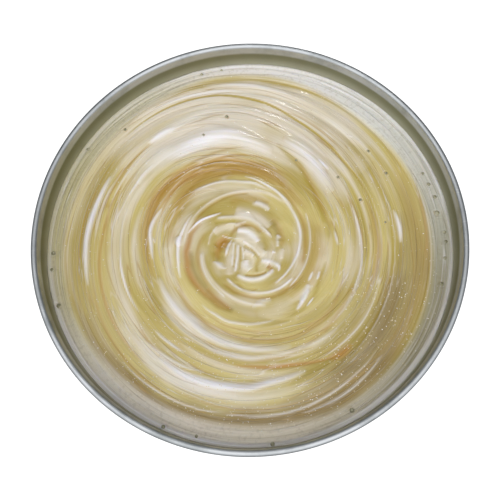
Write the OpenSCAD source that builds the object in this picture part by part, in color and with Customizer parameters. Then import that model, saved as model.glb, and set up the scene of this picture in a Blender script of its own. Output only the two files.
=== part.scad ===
// Shoe polish tin: a drawn tin of wax polish with its slip lid off.
// The open tin stands in its own upturned lid and lifts straight up out of it.
// A butterfly key on the tin's wall pries the closed lid up by its edge.
// Millimetres, +Z up. The origin is the middle of the lid's crown, on the table.

/* [Tin] */
// Diameter over the rolled rim
tin_d = 86; // [64:1:104]
// Height from the foot to the top of the rolled rim
tin_h = 22; // [18:0.5:32]
// Thickness of the sheet that tin and lid are drawn from
sheet_t = 0.25; // [0.2:0.01:0.32]
// Outside diameter of the rolled rim's section
rim_roll_d = 1.3; // [1.05:0.05:1.8]
// Outside radius of the bottom corner
foot_r = 1.5; // [1:0.1:2.5]
// Width of the flat ring that the tin stands on
foot_w = 3.2; // [2:0.1:6]
// Height that the bottom panel is pressed up
foot_lift = 0.6; // [0.4:0.1:1]
// How far the stop bead stands out of the wall
stop_out = 0.6; // [0.3:0.05:0.7]
// Radius of the stop bead's section
stop_r = 0.9; // [0.8:0.05:1.2]

/* [Polish] */
// Depth from the top of the rim down to the polish
headspace = 6.4; // [2:0.1:8]

/* [Lid] */
// Radial clearance of the skirt over the rolled rim
lid_fit = 0.08; // [0.05:0.01:0.2]
// Outside radius of the crown's corner
crown_r = 1.2; // [0.8:0.1:1.5]
// Depth of the panel below the crown
panel_drop = 1; // [0.8:0.1:1.4]
// Number of stiffening rings in the panel
ring_count = 3; // [1:1:4]
// Depth of a stiffening ring
ring_depth = 0.4; // [0.2:0.05:0.6]
// Thickness of the sealing ring
seal_t = 0.45; // [0.3:0.05:0.6]

/* [Opener] */
// Diameter of the rivet that the key turns on
rivet_d = 1.4; // [1.2:0.1:1.8]
// Radial clearance of the rivet in the key
key_fit = 0.05; // [0.02:0.01:0.1]
// Wall of the key's barrel
barrel_wall = 0.7; // [0.5:0.05:0.9]
// Length of the barrel that stands out of the closed lid's skirt
barrel_l = 2.4; // [2:0.1:3]
// How far a quarter turn raises the closed lid
key_lift = 1; // [0.5:0.1:1.5]
// Thickness of the cam
cam_t = 0.8; // [0.6:0.05:1]
// Width of the butterfly wing
wing_w = 14; // [12:0.5:18]
// How far the wing reaches out from the lid's skirt
wing_reach = 7.6; // [7:0.1:9]
// Thickness of the wing
wing_t = 0.8; // [0.6:0.05:1.2]

/* [Hidden] */
$fn = 144;

press_r = 0.3;        // inner radius of the pressed steps
nest_gap = 0.05;      // the foot stands this far clear of the lid's panel
stop_gap = 0.2;       // the closed lid's edge stops this far above the stop bead
seal_gap = 0.1;       // the sealing ring's clearance to the channel's sides
ring_r = 1.5;         // radius of a stiffening ring's section
key_play = 0.15;      // clearance of the key to the wall, to the stop bead and to its rivet's heads
skirt_gap = 0.3;      // clearance of the wing to the lid's skirt
nest_key_gap = 1;     // clearance of the barrel over the upturned lid's edge
bead_key_gap = 0.3;   // clearance of the barrel under the stop bead
head_t = 0.5;         // thickness of the rivet's heads
head_r = 1.2;         // radius of the rivet's heads

tin_r = tin_d / 2;
roll_r = rim_roll_d / 2;
wall_r = tin_r - rim_roll_d + sheet_t;               // outside of the tin's wall
foot_in_r = wall_r - foot_r - foot_w;                // inner edge of the foot ring
roll_z = tin_h - roll_r;                             // height of the rim roll's centre
polish_z = tin_h - headspace;                        // polish level above the tin's foot

skirt_in_r = tin_r + lid_fit;
lid_r = skirt_in_r + sheet_t;                        // outside of the lid's skirt
panel_r = wall_r - foot_r - press_r;                 // edge of the panel, just outside the foot ring
seat_z = panel_drop + sheet_t + nest_gap;            // height of the tin's foot in the upturned lid

rivet_r = rivet_d / 2;
barrel_r = rivet_r + key_fit + barrel_wall;
stop_half = sqrt(stop_r * stop_r - (stop_r - stop_out) * (stop_r - stop_out));

// The opener and the stop bead share the wall between the edges of the closed and the upturned lid.
opener_room = nest_key_gap + 2 * barrel_r + bead_key_gap + 2 * stop_half + stop_gap;
lid_h = (tin_h + seat_z + sheet_t + seal_t - opener_room) / 2;
edge_z = tin_h - (lid_h - sheet_t - seal_t);         // the closed lid's edge above the tin's foot
stop_z = edge_z - stop_gap - stop_half;              // the stop bead's centre above the tin's foot
key_z = stop_z - stop_half - bead_key_gap - barrel_r;
cam_l = edge_z + key_lift - key_z;                   // from the rivet's axis to the cam's tip
cam_y = wall_r + stop_out + key_play;
wing_y = lid_r + skirt_gap;
barrel_y = lid_r + barrel_l;                         // outer end of the barrel
lobe_r = wing_w / 4;
head_y = sqrt(pow(wall_r - sheet_t, 2) - head_r * head_r);  // the inner head lies against the wall

// A pan's half section, filled in up to its skin. g is the depth under the outer skin.
module pan(g, r, top, corner, step_r, lift) {
    difference() {
        union() {
            translate([0, g]) square([r - corner, top - g]);
            translate([0, corner]) square([r - g, top - corner]);
            translate([r - corner, corner]) circle(corner - g);
        }
        square([step_r - press_r, lift + g]);
        square([step_r + g, lift - press_r]);
        translate([step_r - press_r, lift - press_r]) circle(press_r + g);
    }
}

module tin_section(g, top) {
    pan(g, wall_r, top, foot_r, foot_in_r, foot_lift);
    intersection() {
        translate([wall_r - stop_r + stop_out, stop_z]) circle(stop_r - g);
        translate([wall_r - foot_r, foot_r]) square([tin_r, tin_h]);
    }
}

// The rim's roll: a ring of sheet, open below where it curls back towards the wall.
module rim_roll() {
    translate([tin_r - roll_r, roll_z]) difference() {
        circle(roll_r);
        circle(roll_r - sheet_t);
        polygon([[0, 0], [-rim_roll_d, 0], [-rim_roll_d, -rim_roll_d], [-0.6 * rim_roll_d, -rim_roll_d]]);
    }
}

// Turned to lie along Y on the rivet's axis, outwards from y.
module on_rivet(y) {
    translate([0, y, key_z]) rotate([-90, 0, 0]) children();
}

module tin_body() {
    color("silver") translate([0, 0, seat_z]) difference() {
        rotate_extrude() {
            difference() {
                tin_section(0, roll_z);
                tin_section(sheet_t, roll_z + sheet_t);
            }
            rim_roll();
        }
        on_rivet(wall_r - foot_r) cylinder(r = rivet_r, h = 2 * foot_r);
    }
}

module polish() {
    color([0.80, 0.71, 0.48]) translate([0, 0, seat_z]) difference() {
        rotate_extrude() intersection() {
            tin_section(sheet_t, roll_z);
            square([tin_r, polish_z]);
        }
        on_rivet(head_y - head_t) cylinder(r = head_r, h = 2 * head_t);
    }
}

module opener_rivet() {
    color("gainsboro") translate([0, 0, seat_z]) {
        on_rivet(head_y - head_t) cylinder(r = head_r, h = head_t);
        on_rivet(head_y - head_t) cylinder(r = rivet_r, h = barrel_y + key_play - head_y + 2 * head_t);
        on_rivet(barrel_y + key_play) cylinder(r = head_r, h = head_t);
    }
}

// Half of the butterfly, as seen from above. The other half is its mirror image.
module wing_lobe() {
    lobe_y = lid_r + wing_reach - lobe_r;
    lobe_x = wing_w / 2 - lobe_r;
    spread = 20;      // where the lobe's underside runs into its arc
    translate([lobe_x, lobe_y]) circle(lobe_r);
    polygon([[0, wing_y], [barrel_r, wing_y],
        [lobe_x + lobe_r * sin(spread), lobe_y - lobe_r * cos(spread)],
        [lobe_x, lobe_y], [0, lobe_y]]);
}

module opener_key() {
    notch_r = head_r + key_play;
    cam_half = barrel_r - key_play;
    color("gainsboro") translate([0, 0, seat_z]) difference() {
        union() {
            on_rivet(wall_r + key_play) cylinder(r = barrel_r, h = barrel_y - wall_r - key_play);
            on_rivet(cam_y) linear_extrude(cam_t) {
                translate([cam_half - cam_l, 0]) circle(cam_half);
                translate([cam_half - cam_l, -cam_half]) square([cam_l - cam_half, 2 * cam_half]);
            }
            translate([0, 0, key_z - wing_t / 2]) linear_extrude(wing_t) difference() {
                for (side = [0, 1]) mirror([side, 0, 0]) wing_lobe();
                translate([-notch_r, barrel_y]) square([2 * notch_r, wing_reach]);
            }
        }
        on_rivet(wall_r) cylinder(r = rivet_r + key_fit, h = barrel_y);
    }
}

module lid_section(g, top) {
    pan(g, lid_r, top, crown_r, panel_r, panel_drop);
    for (i = [1:ring_count])
        translate([panel_r * i / (ring_count + 1), panel_drop - ring_depth + ring_r]) circle(ring_r - g);
}

module lid_shell() {
    color("silver") rotate_extrude() difference() {
        lid_section(0, lid_h);
        lid_section(sheet_t, lid_h + sheet_t);
    }
}

module lid_seal() {
    inner = panel_r + sheet_t + seal_gap;
    outer = lid_r - crown_r;
    color("dimgray") translate([0, 0, sheet_t]) rotate_extrude()
        translate([inner, 0]) square([outer - inner, seal_t]);
}

lid_shell();
lid_seal();
tin_body();
polish();
opener_rivet();
opener_key();
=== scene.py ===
import math
import bmesh
import bpy
import numpy as np
from mathutils import Matrix, Vector


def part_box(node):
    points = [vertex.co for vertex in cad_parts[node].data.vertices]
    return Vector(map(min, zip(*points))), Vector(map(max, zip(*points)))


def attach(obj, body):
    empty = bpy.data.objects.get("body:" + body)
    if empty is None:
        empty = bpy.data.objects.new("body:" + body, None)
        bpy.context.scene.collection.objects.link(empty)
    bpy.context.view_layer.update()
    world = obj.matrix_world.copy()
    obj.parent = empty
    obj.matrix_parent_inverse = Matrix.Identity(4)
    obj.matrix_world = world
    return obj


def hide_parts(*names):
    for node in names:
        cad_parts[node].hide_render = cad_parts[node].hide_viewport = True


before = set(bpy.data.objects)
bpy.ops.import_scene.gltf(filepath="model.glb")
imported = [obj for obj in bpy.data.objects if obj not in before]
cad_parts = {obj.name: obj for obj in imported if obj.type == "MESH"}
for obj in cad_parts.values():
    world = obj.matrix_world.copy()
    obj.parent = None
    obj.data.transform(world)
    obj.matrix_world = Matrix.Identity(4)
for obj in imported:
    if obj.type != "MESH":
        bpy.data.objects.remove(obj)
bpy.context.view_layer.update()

mm = 0.001
scene = bpy.context.scene

tinLow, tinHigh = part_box("tin_body")
waxLow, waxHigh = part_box("polish")
lidLow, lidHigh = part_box("lid_shell")
sealLow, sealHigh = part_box("lid_seal")
keyLow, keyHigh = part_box("opener_key")
rivetLow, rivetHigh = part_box("opener_rivet")

tin = {  # all sizes in mm, heights from the tin's foot
    "rimR": tinHigh.x / mm, "height": (tinHigh.z - tinLow.z) / mm, "foot": tinLow.z / mm,
    "sheet": 0.25, "rollR": 0.65, "rollEnd": -121.0, "cornerR": 1.5, "footWidth": 3.2, "lift": 0.6,
    "pressR": 0.3, "beadOut": 0.6, "beadR": 0.9, "beadZ": 12.65, "segments": 288, "wobble": 0.04}
tin["wallR"] = tin["rimR"] - 2 * tin["rollR"] + tin["sheet"]

lid = {
    "skirtR": lidHigh.x / mm, "height": (lidHigh.z - lidLow.z) / mm, "sheet": 0.25, "cornerR": 1.2,
    "pressR": 0.3, "drop": 1.0, "rings": 3, "ringR": 1.5, "ringDepth": 0.4, "segments": 288, "wobble": 0.03}
lid["panelR"] = tin["wallR"] - tin["cornerR"] - tin["pressR"]


# camera
camera = {"lens": 40.7, "distance": 2.6, "tilt": 21.0, "turn": 2.85, "aimX": 0.0057, "aimY": -0.119}


def makeCamera():
    rim = tin["rimR"] * mm
    centre = Vector((0, 0, tinHigh.z - tin["rollR"] * mm))
    tilt, turn = math.radians(camera["tilt"]), math.radians(camera["turn"])
    away = Vector((math.sin(tilt) * math.sin(turn), -math.sin(tilt) * math.cos(turn), math.cos(tilt)))
    place = centre + away * camera["distance"] * rim
    aim = centre + Vector((camera["aimX"] * rim, camera["aimY"] * rim, 0))
    forward = (aim - place).normalized()
    up = (Vector((0, 1, 0)) - forward * forward.y).normalized()
    side = forward.cross(up)
    turned = Matrix((side, up, -forward)).transposed().to_4x4()
    data = bpy.data.cameras.new("camera")
    data.lens = camera["lens"]
    data.sensor_width = 36.0
    data.clip_start = 0.005
    data.clip_end = 20.0
    eye = bpy.data.objects.new("camera", data)
    eye.matrix_world = Matrix.Translation(place) @ turned
    scene.collection.objects.link(eye)
    scene.camera = eye


makeCamera()
print("camera made")


# small helpers
def arc(cx, cz, radius, fromDeg, toDeg, steps):
    turns = [math.radians(fromDeg + (toDeg - fromDeg) * i / steps) for i in range(steps + 1)]
    return [(cx + radius * math.cos(a), cz + radius * math.sin(a)) for a in turns]


def addSupports(points, near=0.12, longest=4.0):
    # extra points near the ends of straight stretches keep flat walls shaded flat
    done = [points[0]]
    for (r0, z0), (r1, z1) in zip(points, points[1:]):
        span = math.hypot(r1 - r0, z1 - z0)
        if span > 4 * near:
            inner = [near / span, 1 - near / span]
            count = int((span - 2 * near) // longest)
            inner[1:1] = [near / span + (1 - 2 * near / span) * (i + 1) / (count + 1) for i in range(count)]
            done += [(r0 + (r1 - r0) * t, z0 + (z1 - z0) * t) for t in inner]
        if span > 1e-6:
            done.append((r1, z1))
    return done


def meshObject(name, points, faces=(), edges=()):
    mesh = bpy.data.meshes.new(name)
    mesh.from_pydata([tuple(p) for p in points], list(edges), [tuple(f) for f in faces])
    obj = bpy.data.objects.new(name, mesh)
    scene.collection.objects.link(obj)
    return obj


def facesOutward(obj):
    work = bmesh.new()
    work.from_mesh(obj.data)
    bmesh.ops.remove_doubles(work, verts=work.verts, dist=1e-7)
    bmesh.ops.recalc_face_normals(work, faces=work.faces)
    if work.calc_volume(signed=True) < 0:
        bmesh.ops.reverse_faces(work, faces=work.faces)
    work.to_mesh(obj.data)
    work.free()
    for face in obj.data.polygons:
        face.use_smooth = True


def takePlace(obj, material, body, nodes):
    obj.data.materials.clear()
    obj.data.materials.append(material)
    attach(obj, body)
    if nodes:
        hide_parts(*nodes)


# node tree helpers
def setInputs(tree, node, inputs):
    # a socket is linked in, and anything else is a plain value
    for key, value in inputs.items():
        if isinstance(value, bpy.types.NodeSocket):
            tree.links.new(value, node.inputs[key])
        else:
            node.inputs[key].default_value = value


def addNode(tree, kind, inputs=None, **settings):
    made = tree.nodes.new(kind)
    for key, value in settings.items():
        setattr(made, key, value)
    setInputs(tree, made, inputs or {})
    return made


def mathNode(tree, operation, a, b=None, c=None):
    given = {0: a}
    if b is not None:
        given[1] = b
    if c is not None:
        given[2] = c
    return addNode(tree, "ShaderNodeMath", given, operation=operation).outputs[0]


def times(tree, a, b):
    return mathNode(tree, "MULTIPLY", a, b)


def objectSpot(tree):
    return addNode(tree, "ShaderNodeTexCoord").outputs["Object"]


def separated(tree, spot):
    return addNode(tree, "ShaderNodeSeparateXYZ", {0: spot}).outputs


def combined(tree, x, y, z):
    return addNode(tree, "ShaderNodeCombineXYZ", {0: x, 1: y, 2: z}).outputs[0]


def noiseAt(tree, spot, scale, detail, roughness=0.5):
    return addNode(tree, "ShaderNodeTexNoise", {"Vector": spot, "Scale": scale, "Detail": detail,
                                                "Roughness": roughness}).outputs[0]


def bumpOf(tree, height, strength, distance):
    return addNode(tree, "ShaderNodeBump", {"Height": height, "Strength": strength,
                                            "Distance": distance}).outputs[0]


def mixColor(tree, factor, a, b):
    return addNode(tree, "ShaderNodeMix", {0: factor, 6: a, 7: b}, data_type="RGBA").outputs[2]


def layOn(tree, tone, cover, strength, color):
    # a colour laid over a tone where cover is 1, at a strength
    return mixColor(tree, times(tree, cover, strength), tone, color)


def ramp(tree, factor, low, high):
    # 0 below low, 1 above high, smooth between
    made = addNode(tree, "ShaderNodeMapRange", {"Value": factor, "From Min": low, "From Max": high},
                   interpolation_type="SMOOTHSTEP")
    return made.outputs["Result"]


def newGroup(name, kind, inputs, outputs):
    tree = bpy.data.node_groups.new(name, kind)
    for label, socketType, value in inputs:
        made = tree.interface.new_socket(label, in_out="INPUT", socket_type=socketType)
        if value is not None:
            made.default_value = value
    for label, socketType in outputs:
        tree.interface.new_socket(label, in_out="OUTPUT", socket_type=socketType)
    return tree, tree.nodes.new("NodeGroupInput"), tree.nodes.new("NodeGroupOutput")


def useGroup(tree, group, values):
    return addNode(tree, "ShaderNodeGroup", values, node_tree=group)


def newMaterial(name):
    material = bpy.data.materials.new(name)
    material.use_nodes = True
    tree = material.node_tree
    return material, tree, tree.nodes["Principled BSDF"]


def rgb(red, green, blue):
    # display colour, 0 to 255, to the linear values that a shader takes
    linear = [((c / 255 + 0.055) / 1.055) ** 2.4 if c > 10 else c / 255 / 12.92 for c in (red, green, blue)]
    return (*linear, 1.0)


# lathe: a section swept round the Z axis
def makeLatheTree():
    tree, given, done = newGroup(
        "latheShell", "GeometryNodeTree",
        [("Section", "NodeSocketGeometry", None), ("Segments", "NodeSocketInt", 288),
         ("Wobble", "NodeSocketFloat", 0.0), ("Finish", "NodeSocketMaterial", None)],
        [("Shell", "NodeSocketGeometry")])
    section = given.outputs["Section"]
    size = addNode(tree, "GeometryNodeAttributeDomainSize", {"Geometry": section}, component="MESH")
    count = size.outputs["Point Count"]
    rings = mathNode(tree, "ADD", given.outputs["Segments"], 1.0)
    grid = addNode(tree, "GeometryNodeMeshGrid", {"Vertices X": rings, "Vertices Y": count})
    index = addNode(tree, "GeometryNodeInputIndex").outputs[0]
    along = mathNode(tree, "MODULO", index, count)
    ring = mathNode(tree, "FLOOR", mathNode(tree, "DIVIDE", mathNode(tree, "ADD", index, 0.5), count))
    angle = times(tree, mathNode(tree, "DIVIDE", ring, given.outputs["Segments"]), 2 * math.pi)
    spot = addNode(tree, "GeometryNodeInputPosition").outputs[0]
    taken = addNode(tree, "GeometryNodeSampleIndex", data_type="FLOAT_VECTOR", domain="POINT")
    tree.links.new(section, taken.inputs["Geometry"])
    tree.links.new(spot, next(s for s in taken.inputs if s.name == "Value" and s.enabled))
    tree.links.new(along, taken.inputs["Index"])
    value = next(s for s in taken.outputs if s.enabled)
    across, _, high = separated(tree, value)
    cosine, sine = mathNode(tree, "COSINE", angle), mathNode(tree, "SINE", angle)
    around = combined(tree, cosine, sine, times(tree, high, 60.0))
    swing = mathNode(tree, "SUBTRACT", noiseAt(tree, around, 1.3, 1.0), 0.5)
    swing = times(tree, swing, given.outputs["Wobble"])
    radius = times(tree, across, mathNode(tree, "ADD", swing, 1.0))
    place = combined(tree, times(tree, radius, cosine), times(tree, radius, sine), high)
    moved = addNode(tree, "GeometryNodeSetPosition", {"Geometry": grid.outputs["Mesh"], "Position": place})
    merged = addNode(tree, "GeometryNodeMergeByDistance", {"Geometry": moved.outputs[0], "Distance": 2e-7})
    smooth = addNode(tree, "GeometryNodeSetShadeSmooth", {"Geometry": merged.outputs[0]})
    real = addNode(tree, "GeometryNodeRealizeInstances", {"Geometry": smooth.outputs[0]})
    finished = addNode(tree, "GeometryNodeSetMaterial", {"Geometry": real.outputs[0],
                                                        "Material": given.outputs["Finish"]})
    tree.links.new(finished.outputs[0], done.inputs["Shell"])
    return tree


def runTree(source, tree, values, name):
    # set the inputs by their identifiers, evaluate, and keep the result as a plain mesh
    modifier = source.modifiers.new("build", "NODES")
    modifier.node_group = tree
    for item in tree.interface.items_tree:
        if item.item_type == "SOCKET" and item.in_out == "INPUT" and item.name in values:
            modifier[item.identifier] = values[item.name]
    graph = bpy.context.evaluated_depsgraph_get()
    mesh = bpy.data.meshes.new_from_object(source.evaluated_get(graph), depsgraph=graph)
    source.modifiers.remove(modifier)
    obj = bpy.data.objects.new(name, mesh)
    scene.collection.objects.link(obj)
    bpy.data.objects.remove(source)
    return obj


latheTree = makeLatheTree()


def lathe(name, section, material, segments, wobble=0.0, lift=0.0):
    points = [(r * mm, 0.0, (z + lift) * mm) for r, z in addSupports(section)]
    edges = [(i, i + 1) for i in range(len(points) - 1)]
    source = meshObject(name + "Section", points, edges=edges)
    largest = max(p[0] for p in points)
    values = {"Segments": segments, "Wobble": wobble * mm / largest, "Finish": material}
    obj = runTree(source, latheTree, values, name)
    facesOutward(obj)
    return obj


# shared finishes
def makeDrawMarks():
    # fine marks that run round a drawn shell, and a cloudier wear over them
    tree, given, done = newGroup(
        "drawMarks", "ShaderNodeTree",
        [("Marks per mm", "NodeSocketFloat", 3.0), ("Wear per mm", "NodeSocketFloat", 0.12)],
        [("Marks", "NodeSocketFloat"), ("Wear", "NodeSocketFloat"), ("Scratches", "NodeSocketFloat")])
    spot = objectSpot(tree)
    x, y, z = separated(tree, spot)
    radius = mathNode(tree, "SQRT", mathNode(tree, "ADD", times(tree, x, x), times(tree, y, y)))
    safe = mathNode(tree, "ADD", radius, 1e-6)
    rate = times(tree, given.outputs["Marks per mm"], 1000.0)
    outward = times(tree, mathNode(tree, "ADD", z, times(tree, radius, 0.73)), rate)
    wrapped = combined(tree, mathNode(tree, "DIVIDE", x, safe), mathNode(tree, "DIVIDE", y, safe), outward)
    marks = noiseAt(tree, wrapped, 1.6, 3.0)
    cloud = noiseAt(tree, spot, times(tree, given.outputs["Wear per mm"], 1000.0), 5.0, 0.62)
    crossed = addNode(tree, "ShaderNodeMapping", {"Vector": spot, "Rotation": (0.5, 0.3, 0.8),
                                                  "Scale": (90.0, 2600.0, 700.0)})
    scratch = noiseAt(tree, crossed.outputs[0], 1.0, 2.0)
    setInputs(tree, done, {"Marks": marks, "Wear": ramp(tree, cloud, 0.42, 0.72),
                           "Scratches": ramp(tree, scratch, 0.68, 0.74)})
    return tree


drawMarks = makeDrawMarks()


def lacquerAndReflectionMasks(tree):
    # the inside of the tin, fading out towards the rolled rim, and a mask that grows down towards the wax for
    # a painted reflection of the wax on the wall
    x, y, z = separated(tree, objectSpot(tree))
    radius = mathNode(tree, "SQRT", mathNode(tree, "MULTIPLY_ADD", x, x, times(tree, y, y)))
    edge = (tin["wallR"] - tin["sheet"]) * mm
    top = tinHigh.z - 2 * tin["rollR"] * mm
    within = ramp(tree, radius, edge + 0.16 * mm, edge + 0.08 * mm)
    inside = times(tree, within, ramp(tree, z, top - 0.5 * mm, top - 1.3 * mm))
    return inside, ramp(tree, z, top - 1.5 * mm, waxHigh.z)


def metalFinish(name, bright, dull, roughness, marks=3.0, wear=0.12, bump=0.25, lacquerAndReflection=None):
    material, tree, shader = newMaterial(name)
    group = useGroup(tree, drawMarks, {"Marks per mm": marks, "Wear per mm": wear})
    tone = mixColor(tree, group.outputs["Wear"], bright, dull)
    tone = layOn(tree, tone, group.outputs["Scratches"], 0.25, rgb(245, 244, 240))
    rough = mathNode(tree, "MULTIPLY_ADD", group.outputs["Marks"], 0.16, roughness - 0.08)
    rough = mathNode(tree, "MULTIPLY_ADD", group.outputs["Wear"], 0.12, rough)
    height = mathNode(tree, "MULTIPLY_ADD", group.outputs["Scratches"], -0.5, group.outputs["Marks"])
    if lacquerAndReflection:
        inside, low = lacquerAndReflectionMasks(tree)
        # the lacquer's olive tint, painted darker under the rim as shade and paler down towards the wax as a
        # painted reflection of the wax
        tone = mixColor(tree, inside, tone, mixColor(tree, low, *lacquerAndReflection))
        rough = mathNode(tree, "MULTIPLY_ADD", inside, 0.10, rough)
    setInputs(tree, shader, {"Base Color": tone, "Roughness": rough, "Metallic": 1.0,
                             "Normal": bumpOf(tree, height, bump, 0.00003)})
    return material


# lacquer tones: a dark painted shade under the rim, a pale painted reflection of the wax lower down
tinplate = metalFinish("tinplate", rgb(199, 202, 205), rgb(168, 172, 174), 0.38,
                       lacquerAndReflection=(rgb(143, 143, 116), rgb(192, 191, 170)))
lidPlate = metalFinish("lidPlate", rgb(204, 203, 199), rgb(182, 180, 172), 0.24, 2.2)
keySteel = metalFinish("keySteel", rgb(196, 195, 192), rgb(160, 157, 150), 0.3, 1.2, 0.5)


def sealFinish():
    material, tree, shader = newMaterial("sealCompound")
    mottle = noiseAt(tree, objectSpot(tree), 900.0, 4.0)
    tone = mixColor(tree, ramp(tree, mottle, 0.35, 0.65), rgb(64, 62, 60), rgb(88, 86, 82))
    setInputs(tree, shader, {"Base Color": tone, "Normal": bumpOf(tree, mottle, 0.4, 0.00005),
                             "Roughness": mathNode(tree, "MULTIPLY_ADD", mottle, 0.2, 0.6)})
    return material


# the two drawn shells and the seal
def panSkin(shell, depth, wallR, cornerR, stepR, lift, rings=()):
    # the skin of a pan from its axis to the foot of its wall, at a depth under the outer skin
    pressR = shell["pressR"]
    points = [(0.0, lift + depth)]
    for ringAt in rings:
        radius = shell["ringR"] - depth
        centre = lift - shell["ringDepth"] + shell["ringR"]
        start = math.degrees(math.asin((lift + depth - centre) / radius))
        points += arc(ringAt, centre, radius, -180 - start, start, 12)
    points += arc(stepR - pressR, lift - pressR, pressR + depth, 90, 0, 8)
    points += arc(stepR + depth + 0.1, depth + 0.1, 0.1, 180, 270, 4)
    points += arc(wallR - cornerR, cornerR, cornerR - depth, -90, 0, 12)
    return points


def beadArc(depth):
    radius = tin["beadR"] - depth
    centre = tin["wallR"] - tin["beadR"] + tin["beadOut"]
    half = math.degrees(math.acos((tin["wallR"] - depth - centre) / radius))
    return arc(centre, tin["beadZ"], radius, -half, half, 16)


def makeTin():
    wallR, sheet, rollR = tin["wallR"], tin["sheet"], tin["rollR"]
    stepR = wallR - tin["cornerR"] - tin["footWidth"]
    rollX, rollZ = tin["rimR"] - rollR, tin["height"] - rollR
    inside, outside = [panSkin(tin, g, wallR, tin["cornerR"], stepR, tin["lift"]) + beadArc(g)
                       for g in (sheet, 0.0)]
    roll = arc(rollX, rollZ, rollR, 180, tin["rollEnd"], 40)
    back = arc(rollX, rollZ, rollR - sheet, tin["rollEnd"], 180, 24)
    section = inside + roll + back + outside[::-1]
    obj = lathe("tinShell", section, tinplate, tin["segments"], tin["wobble"], tin["foot"])
    takePlace(obj, tinplate, "tin", ["tin_body"])


def makeLid():
    sheet = lid["sheet"]
    rings = [lid["panelR"] * (i + 1) / (lid["rings"] + 1) for i in range(lid["rings"])]
    inside, outside = [panSkin(lid, g, lid["skirtR"], lid["cornerR"], lid["panelR"], lid["drop"], rings)
                       for g in (sheet, 0.0)]
    edge = arc(lid["skirtR"] - sheet / 2, lid["height"] - sheet / 2, sheet / 2, 180, 0, 8)
    obj = lathe("lidShell", inside + edge + outside[::-1], lidPlate, lid["segments"], lid["wobble"])
    takePlace(obj, lidPlate, "lid", ["lid_shell"])


seal = {"gap": 0.1, "soft": 0.1, "sagR": 3.0, "sag": 0.04}  # mm


def makeSeal():
    low, high = sealLow.z / mm, sealHigh.z / mm
    outer = sealHigh.x / mm
    inner = lid["panelR"] + lid["sheet"] + seal["gap"]
    soft, sagR = seal["soft"], seal["sagR"]
    section = [(inner, low + soft)] + arc(inner + soft, high - soft, soft, 180, 90, 4)
    section += arc((inner + outer) / 2, high - sagR - seal["sag"], sagR, 96, 84, 6)  # sagging middle
    section += arc(outer - soft, high - soft, soft, 90, 0, 4)
    section += [(outer, low), (inner, low), (inner, low + soft)]
    finish = sealFinish()
    obj = lathe("sealRing", section, finish, 192)
    takePlace(obj, finish, "lid", ["lid_seal"])


makeTin()
makeLid()
makeSeal()
print("shells made")


# the opener: rivet and butterfly key
opener = {  # mm
    "axisZ": (keyLow.z + keyHigh.z) / 2 / mm, "barrelR": (keyHigh.z - keyLow.z) / 2 / mm, "rivetR": 0.7,
    "inner": keyLow.y / mm, "tip": keyHigh.y / mm, "wingRoot": 43.63, "wingT": 0.7,
    "wingW": (keyHigh.x - keyLow.x) / mm, "camY": 42.7, "camT": 0.8, "camL": 4.6, "headT": 0.5,
    "headEdge": 0.15, "domeR": 1.81, "domeFrom": 53, "domeEdge": 0.1, "play": 0.15, "boreGap": 0.05,
    "slotDepth": 0.6, "lobeFrom": -70, "dish": 0.5, "dishFrom": 1.6, "dishSpan": 5.0, "soft": 0.12}
opener["barrelEnd"] = rivetHigh.y / mm - opener["headT"] - opener["play"]


def makeRivet():
    z, r, headR, t = opener["axisZ"], opener["rivetR"], rivetHigh.x / mm, opener["headT"]
    y0, y1 = rivetLow.y / mm, rivetHigh.y / mm
    edgeR, domeR, domeFrom, rimR = [opener[k] for k in ("headEdge", "domeR", "domeFrom", "domeEdge")]
    low = [(0.0, y0), (headR - edgeR, y0)] + arc(headR - edgeR, y0 + edgeR, edgeR, -90, 0, 4)
    stem = [(headR, y0 + t), (r, y0 + t), (r, y1 - t), (headR - rimR, y1 - t)]
    dome = arc(0, y1 - domeR, domeR, domeFrom, 90, 8)
    edge = arc(headR - rimR, y1 - t + rimR, rimR, -90, domeFrom, 5)
    obj = lathe("openerRivet", low + stem + edge + dome, keySteel, 48)
    obj.data.transform(Matrix.Translation((0, 0, z * mm)) @ Matrix.Rotation(math.radians(-90), 4, "X"))
    takePlace(obj, keySteel, "tin", ["opener_rivet"])


def plateFrom(outline, thickness, place, bend=None, rounding=0.16):
    # a flat plate with rounded edges: outline in mm, place turns the XY plate into the object's frame
    work = bmesh.new()
    ring = [work.verts.new((x * mm, y * mm, -thickness / 2 * mm)) for x, y in outline]
    face = work.faces.new(ring)
    raised = bmesh.ops.extrude_face_region(work, geom=[face])["geom"]
    upper = [v for v in raised if isinstance(v, bmesh.types.BMVert)]
    bmesh.ops.translate(work, vec=(0, 0, thickness * mm), verts=upper)
    rims = [e for e in work.edges if abs(e.verts[0].co.z - e.verts[1].co.z) < 1e-9]
    bmesh.ops.bevel(work, geom=rims, offset=rounding * mm, segments=3, profile=0.5, affect="EDGES")
    bmesh.ops.triangulate(work, faces=[f for f in work.faces if len(f.verts) > 4])
    if bend:
        bmesh.ops.subdivide_edges(work, edges=[e for e in work.edges if e.calc_length() > 0.0012], cuts=2)
        for v in work.verts:
            v.co.z += bend(v.co.x / mm, v.co.y / mm) * mm
    bmesh.ops.transform(work, matrix=place, verts=work.verts)
    mesh = bpy.data.meshes.new("plate")
    work.to_mesh(mesh)
    work.free()
    return mesh


def joinMeshes(name, meshes):
    work = bmesh.new()
    for mesh in meshes:
        work.from_mesh(mesh)
    mesh = bpy.data.meshes.new(name)
    work.to_mesh(mesh)
    work.free()
    obj = bpy.data.objects.new(name, mesh)
    scene.collection.objects.link(obj)
    return obj


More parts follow.
